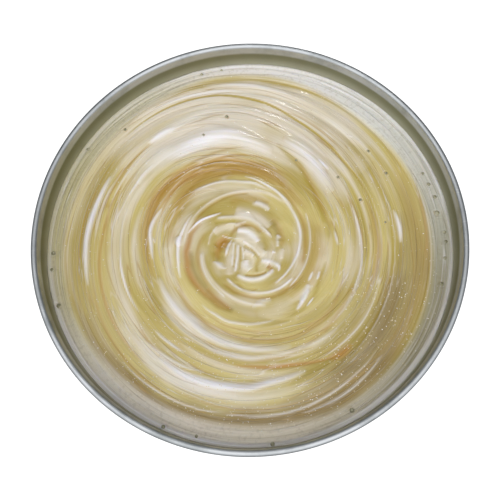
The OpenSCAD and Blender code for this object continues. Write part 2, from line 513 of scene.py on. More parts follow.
def makeKey():
    z, barrelR, tip = opener["axisZ"], opener["barrelR"], opener["tip"]
    lobeR = opener["wingW"] / 4
    lobeX, lobeY = opener["wingW"] / 2 - lobeR, tip - lobeR
    notch = rivetHigh.x / mm + opener["play"]
    root, end = opener["wingRoot"], opener["barrelEnd"] + opener["slotDepth"]
    inner = math.degrees(math.acos((lobeX - notch) / lobeR))
    lobe = arc(lobeX, lobeY, lobeR, opener["lobeFrom"], 180 - inner, 26)
    right = [(barrelR, root)] + lobe + [(notch, end)]
    outline = right + arc(0, end, notch, 0, -180, 8)[1:-1] + [(-x, y) for x, y in right[::-1]]

    def dish(x, y):
        # the wings curl up a little
        return opener["dish"] * min(1.0, max(0.0, (abs(x) - opener["dishFrom"]) / opener["dishSpan"])) ** 2

    wing = plateFrom(outline, opener["wingT"], Matrix.Translation((0, 0, z * mm)), dish)
    camR = barrelR - opener["play"]
    camOutline = arc(camR - opener["camL"], 0, camR, 90, 270, 16) + arc(0, 0, camR, -90, 90, 16)
    stand = Matrix.Translation((0, (opener["camY"] + opener["camT"] / 2) * mm, z * mm)) @ Matrix.Rotation(
        math.radians(90), 4, "X")
    cam = plateFrom(camOutline, opener["camT"], stand, rounding=opener["soft"])
    bore, soft = opener["rivetR"] + opener["boreGap"], opener["soft"]
    y0, y1 = opener["inner"], opener["barrelEnd"]
    section = [(bore, y0)] + arc(barrelR - soft, y0 + soft, soft, -90, 0, 4)
    section += arc(barrelR - soft, y1 - soft, soft, 0, 90, 4) + [(bore, y1), (bore, y0)]
    barrel = lathe("openerBarrel", section, keySteel, 48)
    barrel.data.transform(Matrix.Translation((0, 0, z * mm)) @ Matrix.Rotation(math.radians(-90), 4, "X"))
    obj = joinMeshes("openerKey", [wing, cam, barrel.data])
    bpy.data.objects.remove(barrel)
    facesOutward(obj)
    obj.data.set_sharp_from_angle(angle=math.radians(40))
    takePlace(obj, keySteel, "opener", ["opener_key"])


makeRivet()
makeKey()
print("opener made")


# the wax: where its streaks run
wax = {  # mm and degrees; heights from the table
    "radius": tin["wallR"] - tin["sheet"] - 0.02, "level": waxHigh.z / mm, "bottom": waxLow.z / mm,
    "cells": 300, "knotX": 0.5, "knotY": -4.0, "knotReach": 18.0, "seam": 200.0, "collar": 2.0,
    "underside": ((1.0, 1.6), (0.97, 0.3), (0.93, 0.0), (0.5, 0.65))}  # share of the radius, height

# how the stirred streaks drift outwards, in mm per degree x 1000, every 30 degrees round, at five radii
drift = {
    6: (-5, 0, 15, 40, 50, 10, -10, 10, 30, 10, 15, 10),
    13: (35, 35, 50, 80, 110, 100, 10, -5, 20, 30, 30, 30),
    20: (35, 45, 85, 120, 90, 10, -60, -35, 15, 50, 65, 45),
    30: (25, 55, 110, 140, 70, -20, -30, 0, 10, 10, -10, -10),
    38: (5, 15, 30, 45, 25, 0, 20, 30, 15, 0, -15, -15)}


def driftTable():
    radii = [0.0] + list(drift) + [wax["radius"] + 0.3]
    rows = [np.zeros(12)] + [np.array(v, float) for v in drift.values()] + [np.zeros(12)]
    turn = np.arange(360.0)
    smooth = []
    for row in rows:
        fine = np.interp(turn, np.arange(0, 361, 30), np.append(row, row[0]))
        reach = np.arange(-30, 31)
        weight = np.exp(-(reach / 13.0) ** 2)
        padded = np.concatenate([fine[-30:], fine, fine[:30]])
        smooth.append(np.convolve(padded, weight / weight.sum(), "valid") / 1000)
    fineR = np.arange(0, 44, 0.5)
    return np.array([np.interp(fineR, radii, column) for column in np.array(smooth).T])


driftField = driftTable()


def driftAt(turn, radius):
    t = np.mod(turn, 360.0)
    i = t.astype(int) % 360
    r = np.clip(radius, 0, 43) * 2
    j = r.astype(int)
    f, g = t - np.floor(t), r - j
    near = driftField[i, j] * (1 - g) + driftField[i, j + 1] * g
    nextOne = (i + 1) % 360
    far = driftField[nextOne, j] * (1 - g) + driftField[nextOne, j + 1] * g
    return near * (1 - f) + far * f


def waxPolar(x, y):
    # turn and radius about a middle that slides from the knot to the tin's axis
    radius = np.hypot(x, y)
    for _ in range(14):
        share = 1 - np.minimum(radius / wax["radius"], 1.0) ** 2
        dx, dy = x - wax["knotX"] * share, y - wax["knotY"] * share
        radius = np.hypot(dx, dy)
    return np.mod(np.degrees(np.arctan2(dy, dx)), 360.0), radius


def waxPoint(turn, radius):
    share = 1 - np.minimum(radius / wax["radius"], 1.0) ** 2
    a = np.radians(turn)
    return wax["knotX"] * share + radius * np.cos(a), wax["knotY"] * share + radius * np.sin(a)


def streakLabel(turn, radius, seam):
    # the radius at which the streak through a point left the seam, and how far round it is from there
    swept = np.mod(turn - seam, 360.0)
    steps = 60
    back = swept / steps
    label, t = radius.copy(), turn.copy()
    for _ in range(steps):
        half = label - 0.5 * back * driftAt(t, label)
        label = label - back * driftAt(t - 0.5 * back, half)
        t = t - back
    return label, swept


lattice = np.random.default_rng(41).uniform(-1, 1, (256, 256))


def smoothNoise(u, v, layer=0):
    u, v = u + 37.3 * layer, v + 91.7 * layer
    i, j = np.floor(u).astype(int), np.floor(v).astype(int)
    f, g = u - i, v - j
    f, g = f * f * (3 - 2 * f), g * g * (3 - 2 * g)

    def pick(a, b):
        return lattice[a % 256, b % 256]

    low = pick(i, j) * (1 - f) + pick(i + 1, j) * f
    high = pick(i, j + 1) * (1 - f) + pick(i + 1, j + 1) * f
    return low * (1 - g) + high * g


def smoothStep(value, low, high):
    t = np.clip((value - low) / (high - low), 0, 1)
    return t * t * (3 - 2 * t)


class Flow:
    # streak coordinates of many points at once, with two seams that never show together
    def __init__(self, x, y):
        self.turn, self.radius = waxPolar(x, y)
        self.fromWall = wax["radius"] - np.hypot(x, y)
        self.labelA, self.sweptA = streakLabel(self.turn, self.radius, wax["seam"])
        self.labelB, self.sweptB = streakLabel(self.turn, self.radius, wax["seam"] - 180.0)
        self.shareA = smoothStep(180 - np.abs(self.sweptA - 180), 55, 125)

    def noise(self, perMm, perTurn, layer):
        a = smoothNoise(self.labelA * perMm, self.sweptA / 360 * perTurn, layer)
        b = smoothNoise(self.labelB * perMm, self.sweptB / 360 * perTurn, layer + 50)
        norm = np.sqrt(self.shareA ** 2 + (1 - self.shareA) ** 2)
        return (a * self.shareA + b * (1 - self.shareA)) / norm


# the wax: the strokes that the stirring left
laying = {  # how strokes and folds are laid on, and the painted highlight line along the wall in mm
    "falloff": 2.4, "thinnest": 0.35, "waver": 0.35, "waverTurn": 9.0,
    "hides": 0.75, "edge": 0.5, "foldCover": 0.85, "foldRise": 0.60, "meniscusHighlightAt": 0.45, "meniscusHighlightWidth": 0.45,
    "meniscusHighlightFar": 0.30, "meniscusHighlightNear": 0.70}

# tint, strength, half width in mm, rise in mm, then (turn in degrees, radius in mm) along the stroke
strokes = [
    # broad, soft areas first; the strong cream ones round the far side are partly painted sheen
    ("cream", 0.95, 5.2, 0.1, (34, 28), (60, 29.5), (95, 30.5), (130, 31), (160, 30)),
    ("cream", 0.75, 3.2, 0.05, (25, 23), (50, 24), (80, 24.5), (110, 25)),
    ("cream", 0.8, 2.6, 0.05, (40, 34), (80, 35.5), (110, 36), (150, 37)),
    ("cream", 0.6, 2.4, 0.0, (30, 24), (50, 26), (70, 27)),
    ("cream", 0.45, 3.0, 0.05, (100, 36), (140, 38), (180, 38)),
    ("cream", 0.38, 2.4, 0.05, (200, 28.5), (225, 29.5), (250, 30), (285, 29)),
    ("cream", 0.35, 2.2, 0.0, (35, 33), (60, 35), (90, 38)),
    ("cream", 0.4, 2.0, 0.0, (90, 14), (120, 16), (150, 17.5)),
    ("cream", 0.45, 1.8, 0.0, (275, 13.5), (290, 13.5), (310, 12.5)),
    # amber and umber bands round the near, right-hand outer wax: the wax's own colour, deepened by painted
    # shade
    ("amber", 0.6, 2.0, -0.06, (205, 36), (240, 37), (268, 36.6), (305, 36.4), (330, 34.8), (352, 34.9),
     (378, 35.3), (395, 36)),
    ("umber", 0.5, 3.4, 0.0, (265, 35), (290, 34.5), (315, 33.5), (345, 32.5), (372, 33)),
    ("umber", 0.9, 2.6, -0.06, (205, 36), (235, 36.8), (268, 36.4), (300, 36.2), (325, 35.6)),
    ("khaki", 0.6, 3.0, 0.0, (160, 32), (190, 33), (215, 33), (240, 33)),
    ("cream", 0.75, 1.4, 0.08, (142, 28), (170, 28.2), (200, 27.6), (225, 27.2)),
    ("cream", 0.65, 0.9, 0.08, (158, 24.4), (185, 23.8), (212, 23)),
    ("cream", 0.7, 0.8, 0.1, (160, 17.2), (185, 17.4), (207, 17)),
    ("amber", 0.75, 1.9, -0.04, (62, 17), (90, 18.6), (120, 18.8), (150, 18), (178, 17.2)),
    ("rust", 0.65, 0.34, -0.08, (75, 20.5), (100, 21.8), (130, 21.5), (160, 20.4)),
    ("amber", 0.65, 0.55, -0.06, (60, 18.5), (90, 19.8), (120, 19.6), (150, 18.6)),
    ("amber", 0.55, 0.45, -0.06, (90, 23.2), (125, 23.4), (160, 22.2), (190, 21)),
    ("rust", 0.55, 0.32, -0.08, (150, 30.6), (175, 30.8), (200, 31.5), (230, 32)),
    ("amber", 0.5, 0.5, -0.06, (255, 22.5), (285, 22.8), (315, 22), (340, 21.5)),
    ("khaki", 0.55, 3.6, 0.0, (260, 18), (290, 18), (330, 18.5)),
    ("amber", 0.4, 2.2, 0.0, (300, 10), (330, 12), (365, 13), (400, 14)),
    ("olive", 0.45, 2.2, 0.0, (165, 26.5), (190, 26), (215, 24.5), (240, 23)),
    # more painted shade round the near, right-hand outer wax
    ("umber", 0.55, 3.6, 0.0, (262, 35.5), (290, 35), (320, 33.5), (350, 34.5), (385, 36)),
    ("umber", 0.45, 3.4, 0.0, (285, 30), (315, 30.5), (345, 30.5), (362, 30)),
    ("umber", 0.3, 3.0, 0.0, (300, 24.5), (325, 24.5), (350, 25)),
    # amber and ochre bands
    ("amber", 1.0, 1.6, -0.12, (38, 14.4), (60, 15.8), (80, 17.6), (96, 19.2), (115, 21), (130, 22),
     (148, 22.6), (166, 22.4), (184, 21.6), (198, 20.6)),
    ("rust", 0.8, 0.42, -0.1, (70, 17.6), (90, 19.6), (110, 21.4), (130, 22.6), (150, 23.2),
     (170, 22.8)),
    ("rust", 0.7, 0.34, -0.08, (84, 17), (104, 19), (122, 20.6), (140, 21.2), (158, 21.2)),
    ("cream", 0.6, 0.18, 0.1, (80, 18.2), (100, 20.2), (120, 21.8), (138, 22.4)),
    ("amber", 0.7, 0.45, -0.05, (62, 14.4), (85, 16.9), (102, 18.2), (118, 19), (130, 19.7)),
    ("olive", 0.9, 0.85, -0.1, (10, 16.3), (30, 17.3), (45, 19), (58, 21), (68, 22.5), (77, 24.4)),
    ("amber", 0.5, 0.6, -0.1, (20, 16.9), (40, 18.4), (56, 20.8), (66, 22.2)),
    ("rust", 1.0, 0.42, -0.1, (262, 24), (280, 24.6), (292, 25.6), (301, 27), (308, 28.2)),
    ("rust", 0.9, 0.95, -0.05, (303, 28), (308, 28.6), (314, 28.4)),
    ("rust", 0.85, 0.75, -0.12, (148, 12.2), (165, 13), (186, 13.4), (206, 13.1), (226, 12.8),
     (242, 12.9), (252, 12.5)),
    ("amber", 0.6, 0.4, -0.05, (155, 10.6), (180, 11), (200, 11), (225, 11.2)),
    ("olive", 0.6, 0.8, 0.0, (155, 9.2), (180, 9.1), (205, 9.3), (235, 10)),
    ("rust", 0.7, 0.85, -0.15, (140, 6.3), (158, 6.5), (176, 6.9), (192, 6.9)),
    ("amber", 0.7, 0.5, -0.06, (92, 6.1), (110, 6.3), (128, 6.2), (142, 5.6)),
    ("amber", 0.6, 0.7, -0.06, (12, 6.4), (28, 7), (45, 8), (62, 8.6)),
    ("rust", 0.8, 0.35, -0.06, (309, 5.5), (317, 5.1), (326, 5)),
    ("olive", 0.8, 0.5, -0.08, (318, 15.8), (332, 15.1), (352, 15.4)),
    ("amber", 0.7, 0.34, -0.05, (132, 32), (150, 31.8), (165, 32.3), (176, 33)),
    ("amber", 0.6, 0.32, -0.04, (148, 34.9), (165, 34.9), (181, 35.2), (197, 36)),
    ("amber", 0.75, 0.32, -0.05, (192, 32.8), (214, 33.8), (236, 34.4), (260, 35.4)),
    ("amber", 0.6, 0.25, -0.04, (242, 32.8), (264, 33.4), (288, 33.3), (306, 32.9)),
    ("amber", 0.55, 0.8, -0.06, (332, 24.9), (350, 25.8), (366, 26.2), (384, 26.4)),
    ("olive", 0.65, 0.8, -0.05, (346, 29.4), (362, 29.2), (376, 29)),
    ("olive", 0.95, 0.3, -0.12, (5, 26.8), (28, 27.3), (45, 27.9), (60, 29.5), (72, 31), (85, 33.2),
     (95, 34.6), (108, 36), (122, 36.7), (140, 36.6)),
    ("olive", 0.7, 0.28, -0.1, (15, 36.4), (40, 36.7), (60, 37.4), (78, 38), (92, 38.5), (106, 39.1)),
    ("olive", 0.6, 0.45, -0.05, (352, 24), (374, 24.2), (395, 25), (412, 26)),
    ("amber", 0.55, 0.5, -0.05, (262, 18), (285, 19.3), (306, 20.2), (328, 20), (350, 19)),
    ("amber", 0.6, 0.65, -0.06, (198, 16.2), (224, 17), (250, 17.7), (272, 18.6), (290, 19.6)),
    ("amber", 0.45, 0.35, -0.04, (240, 26.4), (252, 26.8), (258, 26.4)),
    ("olive", 0.6, 0.4, -0.05, (222, 24.4), (245, 22.8), (262, 23.2)),
    ("olive", 0.8, 0.5, -0.1, (236, 7.6), (246, 7.2), (262, 7.9), (280, 7.6)),
    ("amber", 0.45, 0.3, -0.05, (228, 15.4), (250, 16.2), (270, 16.6), (290, 17.8)),
    ("amber", 0.45, 0.25, -0.05, (296, 9.4), (316, 10.6), (336, 11.6)),
    # white and pearly ones: partly real pearly streaks, partly painted highlights on the slopes
    ("pearl", 1.0, 1.92, 0.3, (78, 22.8), (90, 24.6), (104, 26.2), (118, 27.2), (134, 28.3),
     (150, 28.4)),
    ("pearl", 0.55, 1.41, 0.15, (84, 31), (100, 32), (118, 32.6), (133, 32.2)),
    ("pearl", 0.8, 0.58, 0.12, (121, 31.6), (127, 31.9), (134, 32.3)),
    ("pearl", 0.85, 1.41, 0.28, (36, 21.8), (48, 22.9), (58, 23.8), (66, 24.7), (74, 25.6)),
    ("pearl", 0.9, 0.38, 0.1, (46, 24.2), (50, 24.4), (54, 24.6)),
    ("pearl", 1.0, 0.54, 0.16, (153, 33.5), (168, 33.6), (180, 33.9), (196, 34.1)),
    ("pearl", 1.1, 0.9, 0.28, (232, 29), (250, 29.1), (262, 28.6), (274, 28.1), (285, 27.6),
     (293, 27.3)),
    ("pearl", 0.45, 1.15, 0.1, (212, 30), (235, 30.6), (256, 30.7), (276, 30.9), (294, 30.2)),
    ("pearl", 0.9, 0.96, 0.22, (197, 19.4), (214, 19.1), (230, 18.9), (246, 19.4), (261, 20),
     (276, 20.6), (292, 21.3)),
    ("pearl", 0.5, 0.64, 0.1, (213, 21.3), (240, 21.5), (262, 22.1), (282, 22.5), (300, 22.9),
     (316, 23.8)),
    ("pearl", 0.8, 0.36, 0.14, (146, 14.9), (158, 15), (172, 15.1), (186, 15.1), (202, 15.4)),
    ("pearl", 0.9, 0.7, 0.2, (167, 15.1), (171, 15.2), (176, 15)),
    ("pearl", 1.0, 0.28, 0.18, (126, 10.7), (139, 11.8), (150, 12.9), (163, 13.8)),
    ("pearl", 0.9, 0.28, 0.14, (48, 13), (62, 14), (75, 14.9), (86, 16), (95, 16.8)),
    ("pearl", 0.6, 0.38, 0.12, (72, 14), (86, 15), (100, 15.9), (116, 17), (132, 18.2)),
    ("pearl", 0.55, 0.54, 0.08, (70, 10.5), (80, 10.9), (90, 10.8)),
    ("pearl", 0.6, 0.7, 0.12, (84, 7.2), (98, 8.3), (114, 9.2)),
    ("pearl", 0.9, 0.32, 0.1, (28, 6.7), (37, 6.6)),
    ("pearl", 0.7, 0.23, 0.1, (38, 5.3), (55, 5.6), (72, 6)),
    ("pearl", 0.5, 0.38, 0.1, (98, 6.9), (114, 7.1), (132, 8.1)),
    ("pearl", 0.95, 0.31, 0.16, (143, 5.1), (160, 5), (175, 5.2), (187, 5.4)),
    ("pearl", 0.7, 0.7, 0.15, (192, 7.8), (202, 6.8), (213, 6.1)),
    ("pearl", 0.6, 0.36, 0.1, (228, 14.8), (248, 15.2), (268, 15.2), (288, 15)),
    ("pearl", 0.95, 0.51, 0.2, (306, 15.2), (315, 14.4), (325, 13.9)),
    ("pearl", 0.9, 0.2, 0.1, (313, 16), (322, 15.8)),
    ("pearl", 0.8, 0.26, 0.1, (335, 14.5), (343, 14.4)),
    ("pearl", 0.8, 0.26, 0.1, (331, 13), (341, 13.1)),
    ("pearl", 0.8, 0.49, 0.14, (360, 31), (368, 30.9), (374, 30.7)),
    ("pearl", 0.7, 0.26, 0.08, (363, 17.9), (374, 17.7)),
    ("pearl", 0.75, 0.26, 0.1, (183, 26.9), (197, 26.6), (212, 26)),
    ("pearl", 0.65, 0.36, 0.12, (224, 28.4), (238, 27.8), (251, 27)),
    ("pearl", 0.6, 0.32, 0.1, (222, 25.5), (239, 25.2)),
    ("pearl", 0.7, 0.28, 0.1, (324, 6.6), (336, 6.3)),
    ("pearl", 0.5, 0.64, 0.08, (270, 11.3), (280, 10.7), (292, 10.8)),
    ("pearl", 0.75, 0.38, 0.12, (66, 33.4), (84, 34.6), (98, 35.9), (113, 37.1), (130, 37.7)),
    ("pearl", 0.6, 0.51, 0.12, (74, 35.6), (90, 37), (106, 38.2)),
    ("pearl", 0.5, 0.96, 0.1, (38, 33), (55, 33.3), (72, 34.2)),
    ("pearl", 0.7, 0.41, 0.12, (154, 21), (168, 21.4), (178, 20.6), (186, 20.3)),
    ("pearl", 0.6, 0.31, 0.1, (138, 28), (157, 28.3)),
    ("pearl", 0.45, 0.32, 0.08, (262, 34.6), (282, 34.8), (300, 34), (318, 33)),
    ("pearl", 0.4, 0.32, 0.08, (285, 35.8), (302, 35.6), (318, 34.6)),
    ("pearl", 0.4, 0.28, 0.08, (225, 34.9), (245, 35), (262, 34.6)),
    ("pearl", 0.45, 0.28, 0.08, (335, 22.4), (358, 22.6), (385, 22.8)),
    ("pearl", 0.4, 0.28, 0.08, (300, 26.4), (322, 27), (345, 27)),
]


def strokeLine(points):
    # a smooth curve of radius over turn through the stroke's points
    turns, radii = np.array([p[0] for p in points], float), np.array([p[1] for p in points], float)
    slope = np.gradient(radii, turns, edge_order=1)
    return turns, radii, slope


def strokeCover(flow, points, halfWidth):
    # how strongly a stroke covers each point: full on its line, nothing beyond its width and its ends
    turns, radii, slope = strokeLine(points)
    cover = np.zeros_like(flow.turn)
    side = np.zeros_like(flow.turn)
    for lap in (-360.0, 0.0, 360.0):
        t = flow.turn + lap
        inside = (t >= turns[0]) & (t <= turns[-1])
        if not inside.any():
            continue
        ti = t[inside]
        k = np.clip(np.searchsorted(turns, ti, "right") - 1, 0, len(turns) - 2)
        span = turns[k + 1] - turns[k]
        u = (ti - turns[k]) / span
        line = (radii[k] * (1 + 2 * u) * (1 - u) ** 2 + radii[k + 1] * u * u * (3 - 2 * u)
                + span * (slope[k] * u * (1 - u) ** 2 + slope[k + 1] * u * u * (u - 1)))
        whole = (ti - turns[0]) / (turns[-1] - turns[0])
        taper = np.sqrt(np.clip(np.sin(np.pi * np.clip(whole, 0, 1)), 0, 1))
        wave = smoothNoise(ti / laying["waverTurn"], np.full_like(ti, radii[0]), 7)
        line = line + laying["waver"] * halfWidth * wave
        width = halfWidth * (laying["thinnest"] + (1 - laying["thinnest"]) * taper)
        away = (flow.radius[inside] - line) / width
        found = np.exp(-np.abs(away) ** laying["falloff"]) * taper
        better = found > cover[inside]
        spot = np.flatnonzero(inside)[better]
        cover[spot] = found[better]
        side[spot] = away[better]
    return cover, side


# the folds of the knot where the stirrer came out: as above, but each point is (x, y) in mm
folds = [
    ("cream", 0.55, 3.6, 0.15, (-3.4, -3.4), (-0.5, -3.2), (2.6, -4.6), (4.4, -5.4)),
    ("rust", 0.8, 0.9, -0.3, (-6.6, -2.6), (-5.9, -1.4), (-5, -1), (-4.6, -1.7), (-5.2, -2.6)),
    ("cream", 0.7, 1.0, 0.22, (-2.9, -0.5), (-1.2, -0.9), (0.3, -1.6), (1.9, -3), (3.3, -4.3)),
    ("cream", 0.75, 1.1, 0.1, (-3.8, -1.4), (-3.6, -4), (-4.1, -6.4), (-3.9, -8.6)),
    ("olive", 0.7, 0.45, -0.22, (-1.2, -2.3), (0.1, -2.9), (1.2, -3.9), (2, -5), (1.4, -6.3), (1.5, -8)),
    ("olive", 0.6, 0.6, -0.15, (2.6, 0.6), (3.2, -0.8), (3.6, -2.4), (3.2, -3.4)),
    ("pearl", 0.9, 0.75, 0.3, (-2.6, 1.1), (-1, 0.9), (0.3, 0.3), (1.2, -0.5), (1.8, -1.6)),
    ("pearl", 0.65, 0.34, 0.14, (-1.4, -1.4), (-0.2, -2), (1, -3.1), (2.2, -4.4)),
    ("cream", 0.9, 0.6, 0.18, (-1, -3.5), (0, -3.9), (0.9, -4.6)),
    ("pearl", 0.75, 0.95, 0.22, (-0.9, -5.4), (-0.7, -6.6), (0.1, -7.6)),
    ("pearl", 0.7, 0.3, 0.16, (-4.1, -1.5), (-4.4, -2.9), (-4.8, -4.1)),
    ("pearl", 0.55, 0.3, 0.12, (-3.3, -1.5), (-3.4, -4), (-3.5, -6.6)),
    ("pearl", 0.85, 0.36, 0.22, (-2.3, -2), (-2.4, -4.6), (-2.7, -6.5), (-2.9, -7.8)),
    ("pearl", 0.6, 0.22, 0.14, (-1.5, -2.6), (-1.2, -4), (-1.2, -5.3)),
    ("olive", 0.6, 0.22, -0.16, (-1.8, -2.4), (-1.8, -5), (-2, -7.4)),
    ("olive", 0.5, 0.2, -0.14, (-2.9, -2), (-3, -5), (-3.2, -7)),
    ("pearl", 0.9, 0.5, 0.26, (-2.5, -8.5), (-1.2, -9.3), (0.6, -9.6), (2.6, -9.3), (4.1, -8.3),
     (4.9, -7.4)),
    ("amber", 0.8, 0.28, -0.2, (-0.8, -8.6), (1, -8.75), (2.4, -8.5), (3.6, -8)),
    ("pearl", 0.8, 0.52, 0.2, (2.4, -5.5), (3.8, -5.8), (5.2, -6.1), (6.2, -6.9)),
    ("rust", 0.9, 0.5, -0.14, (3.7, -6.6), (4.2, -7)),
    ("cream", 0.6, 0.45, 0.14, (6.9, -3), (6.6, -4), (6.5, -5.2)),
    ("pearl", 0.7, 0.12, 0.1, (-5.6, 0), (-4, -0.55), (-1.2, -0.9)),
    ("pearl", 0.7, 0.34, 0.14, (5.9, 0.1), (5.8, -1), (5.8, -2.6)),
    ("pearl", 0.8, 0.26, 0.14, (4.7, -3.7), (5.4, -3.8)),
    ("pearl", 0.65, 0.45, 0.2, (-6.8, 3.8), (-4, 4.1), (-0.5, 3.9), (1.8, 2.7), (3.3, 0.9), (4.4, -0.3)),
    ("cream", 0.8, 0.8, 0.15, (-7.4, 0.6), (-5.6, 1.9), (-3.2, 2.1)),
    ("amber", 0.7, 0.5, -0.15, (-3, 2.7), (-1, 2.4), (1.2, 1.9), (2.5, 0.5)),
    ("olive", 0.6, 0.5, -0.1, (-7.2, 2.7), (-5.2, 3.2), (-2.8, 3.1)),
    # painted shadow to the right of the knot
    ("umber", 0.55, 0.9, -0.15, (4.4, 3.2), (5.6, 1.8), (6.1, 0.2), (6.2, -1.4)),
    ("umber", 0.6, 0.8, -0.14, (-12.2, -3), (-11.7, -7), (-9.4, -10.8), (-6.5, -13.8), (-3, -16)),
    ("rust", 0.6, 0.4, -0.1, (-8.6, -11.2), (-6.4, -13.6), (-3.6, -15.6)),
    ("cream", 0.85, 0.42, 0.16, (-9.6, -3.6), (-9.2, -6.8), (-7.4, -10), (-4.4, -12.8), (-0.6, -14.6),
     (3.5, -14.9)),
    ("pearl", 0.6, 0.24, 0.14, (-9.9, -3.9), (-9.6, -7), (-7.8, -10.4), (-4.8, -13.2)),
    ("amber", 0.7, 0.4, -0.14, (-5.2, -10.2), (-2.6, -12.4), (1.8, -13.6), (6.4, -12.7), (9.8, -9.8)),
    ("pearl", 0.75, 0.3, 0.16, (-4.6, -9.2), (-2.4, -11.4), (1.6, -12.6), (5.8, -11.8), (8.9, -9.2)),
    ("amber", 0.7, 0.4, -0.14, (6.5, 10.8), (9.4, 7), (11.3, 3), (11.7, -1.5), (10.8, -6)),
    ("pearl", 0.85, 0.3, 0.18, (5, 10.6), (8, 7.2), (10, 3.8), (10.7, 0), (10.1, -4), (7.8, -8),
     (5.2, -10.4)),
    ("pearl", 0.55, 0.24, 0.12, (11.8, 5), (12.6, 1.5), (12.5, -3), (11, -7.5), (8, -11.2)),
    ("cream", 0.8, 1.2, 0.14, (-3, 5.6), (0, 4.9), (2.4, 3.6), (4.2, 1.6)),
    ("pearl", 0.75, 0.5, 0.14, (1.2, 7.4), (2.8, 6.7), (4.2, 5.6)),
    ("amber", 0.5, 1.0, -0.08, (-4.2, 7.4), (-1.5, 8.4), (1.5, 8.3), (4.2, 7)),
    ("cream", 0.65, 0.36, 0.14, (-13.5, -2), (-12.8, 2.5), (-9.8, 6.6), (-5.5, 9.2), (-0.5, 10.2),
     (4, 9.6), (7.6, 7.2)),
    ("amber", 0.55, 0.32, -0.12, (-12.6, -1), (-11.6, 3), (-8.6, 6.6), (-4.5, 8.9), (0, 9.5)),
    ("cream", 0.55, 0.3, 0.12, (-8.4, -2), (-8, 0.2), (-6.6, 2)),
    ("pearl", 0.8, 0.55, 0.14, (10.3, -14.2), (11.2, -12.4), (12, -10.6)),
]


def foldCover(x, y, points, halfWidth):
    # the same for a fold: its line is rounded off first, then each point's distance to it is taken
    line = np.array(points, float)
    for _ in range(3):
        inner = np.column_stack([line[:-1] * 0.75 + line[1:] * 0.25, line[:-1] * 0.25 + line[1:] * 0.75])
        line = np.vstack([line[:1], inner.reshape(-1, 2), line[-1:]])
    near = np.flatnonzero(np.hypot(x - wax["knotX"], y - wax["knotY"]) < wax["knotReach"])
    spot = np.column_stack([x[near], y[near]])
    best, side, along = np.full(len(near), 9e9), np.zeros(len(near)), np.zeros(len(near))
    for k, (a, b) in enumerate(zip(line, line[1:])):
        step = b - a
        t = np.clip(((spot - a) @ step) / (step @ step), 0, 1)
        off = spot - a - t[:, None] * step
        away = np.hypot(off[:, 0], off[:, 1])
        closer = away < best
        best[closer] = away[closer]
        side[closer] = np.sign(step[0] * off[closer, 1] - step[1] * off[closer, 0])
        along[closer] = (k + t[closer]) / (len(line) - 1)
    width = halfWidth * (0.5 + 0.5 * np.sqrt(np.clip(np.sin(np.pi * along), 0, 1)))
    cover, edge = np.zeros_like(x), np.zeros_like(x)
    fade = np.clip(2.4 * np.sin(np.pi * np.clip(along, 0.01, 0.99)), 0, 1)
    cover[near] = np.exp(-(best / width) ** 2) * fade
    edge[near] = side * best / width
    return cover, edge


waxRelief = {  # height in mm, then streaks per mm and per turn, and the noise layer
    "swells": (0.26, 0.16, 3.0, 1), "folds": (0.17, 0.36, 4.0, 2), "fine": (0.05, 0.8, 5.0, 3),
    "fineWhere": (1.0, 0.2, 5.0, 5), "ridges": (0.13, 0.26, 4.0, 6), "creases": (-0.09, 0.22, 4.0, 8),
    "ridgeWidth": 0.16, "creaseWidth": 0.14, "strokes": 1.35, "climb": 0.45, "climbReach": 0.40,
    "setLine": 0.16, "setLineAt": 1.25, "setLineWidth": 0.22}


def waxHeight(flow, tints):
    # the relief in mm over the fill level, from the widest swells to the finest streaks
    def waves(kind):
        height, perMm, perTurn, layer = waxRelief[kind]
        return height, flow.noise(perMm, perTurn, layer)

    def sharpened(kind, width):
        height, found = waves(kind)
        return height * np.exp(-(found / width) ** 2)

    calm = smoothStep(flow.fromWall, 1.0, 6.0)  # the wax set smooth along the wall
    height = np.zeros_like(flow.radius)
    for kind in ("swells", "folds"):
        size, found = waves(kind)
        height += size * found
    size, found = waves("fine")
    height += size * found * smoothStep(waves("fineWhere")[1], -0.3, 0.5)
    height += sharpened("ridges", waxRelief["ridgeWidth"])
    height += sharpened("creases", waxRelief["creaseWidth"])
    height *= (0.15 + 0.85 * calm) * (0.25 + 0.75 * smoothStep(flow.radius, 1.5, 7.0))
    height += waxRelief["strokes"] * tints["rise"] * (0.3 + 0.7 * calm)
    height += waxRelief["climb"] * np.exp(-np.clip(flow.fromWall, 0, None) / waxRelief["climbReach"])
    away = (flow.fromWall - waxRelief["setLineAt"]) / waxRelief["setLineWidth"]  # the line where it first set
    return height + waxRelief["setLine"] * np.exp(-away ** 2)


tintNames = ("cream", "khaki", "olive", "umber", "amber", "rust", "pearl")
marginWidths = [(0, 4.4), (45, 4.6), (75, 3.4), (105, 3.0), (150, 3.4), (180, 3.4), (215, 3.6), (260, 3.6),
                (300, 3.4), (330, 3.4), (360, 4.4)]  # degrees round, and mm of calm margin there
marginTonesLitAndShaded = [  # degrees round, and the tone of the calm margin there, with painted light in it: a pale painted highlight on the far side, painted shade at the near right, and lifted where the near wall shades it
    (0, (186, 184, 166)), (40, (232, 231, 226)), (70, (240, 238, 240)), (95, (236, 231, 232)),
    (125, (212, 205, 180)), (160, (200, 190, 142)), (195, (206, 194, 144)), (225, (240, 231, 216)),
    (255, (246, 234, 218)), (285, (232, 219, 196)), (320, (160, 150, 114)), (345, (168, 162, 136)),
    (360, (186, 184, 166))]


